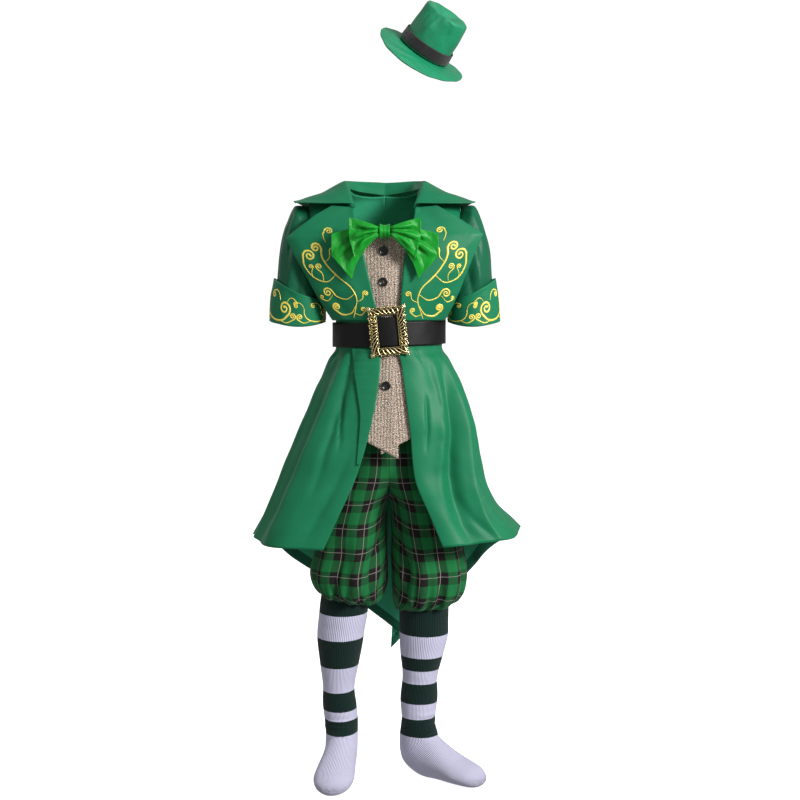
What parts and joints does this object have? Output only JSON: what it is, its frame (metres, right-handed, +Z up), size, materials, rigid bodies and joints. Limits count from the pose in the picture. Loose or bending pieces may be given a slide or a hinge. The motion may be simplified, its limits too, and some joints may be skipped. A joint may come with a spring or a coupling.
{
  "type": "child leprechaun costume set in worn form, without a wearer",
  "caption": "Tailcoat with vest front, bow, belt and buckle, checked knickers, striped stockings and a mini top hat, hollow and in worn pose.",
  "frame": {"origin": "centre of the neck at the height of the shoulder line beside it, where the wearer carries the coat", "axes": "+Z up, the wearer faces -Y, +X is the wearer's left"},
  "size_m": [0.4462, 0.2796, 1.2666],
  "materials": {
    "coat_cloth": "woven, slight sheen",
    "vest_tweed": "ribbed tweed",
    "bow_satin": "satin",
    "belt_vinyl": "soft vinyl, satin",
    "buckle_gold": "plated gold, antiqued",
    "button_black": "gloss",
    "check_cloth": "woven check",
    "stocking_knit": "ribbed knit, striped",
    "hat_satin": "satin",
    "hat_ribbon": "ribbon"
  },
  "bodies": {
    "root": {"belt": "belt_vinyl", "bow_knot": "bow_satin", "bow_top_left": "bow_satin", "bow_top_right": "bow_satin", "bow_under_left": "bow_satin", "bow_under_right": "bow_satin", "buckle": "buckle_gold", "button_1": "button_black", "button_2": "button_black", "button_3": "button_black", "coat_back_left": "coat_cloth", "coat_back_right": "coat_cloth", "coat_front_left": "coat_cloth", "coat_front_right": "coat_cloth", "collar": "coat_cloth", "cuff_left": "coat_cloth", "cuff_right": "coat_cloth", "hat_brim": "hat_satin", "hat_crown": "hat_satin", "hat_ribbon": "hat_ribbon", "knicker_back_left": "check_cloth", "knicker_back_right": "check_cloth", "knicker_front_left": "check_cloth", "knicker_front_right": "check_cloth", "knicker_waistband": "check_cloth", "lapel_left": "coat_cloth", "lapel_right": "coat_cloth", "revers_right": "coat_cloth", "sleeve_left": "coat_cloth", "sleeve_right": "coat_cloth", "stocking_left": "stocking_knit", "stocking_right": "stocking_knit", "vest_front_left": "vest_tweed", "vest_front_right": "vest_tweed"}
  },
  "joints": []
}
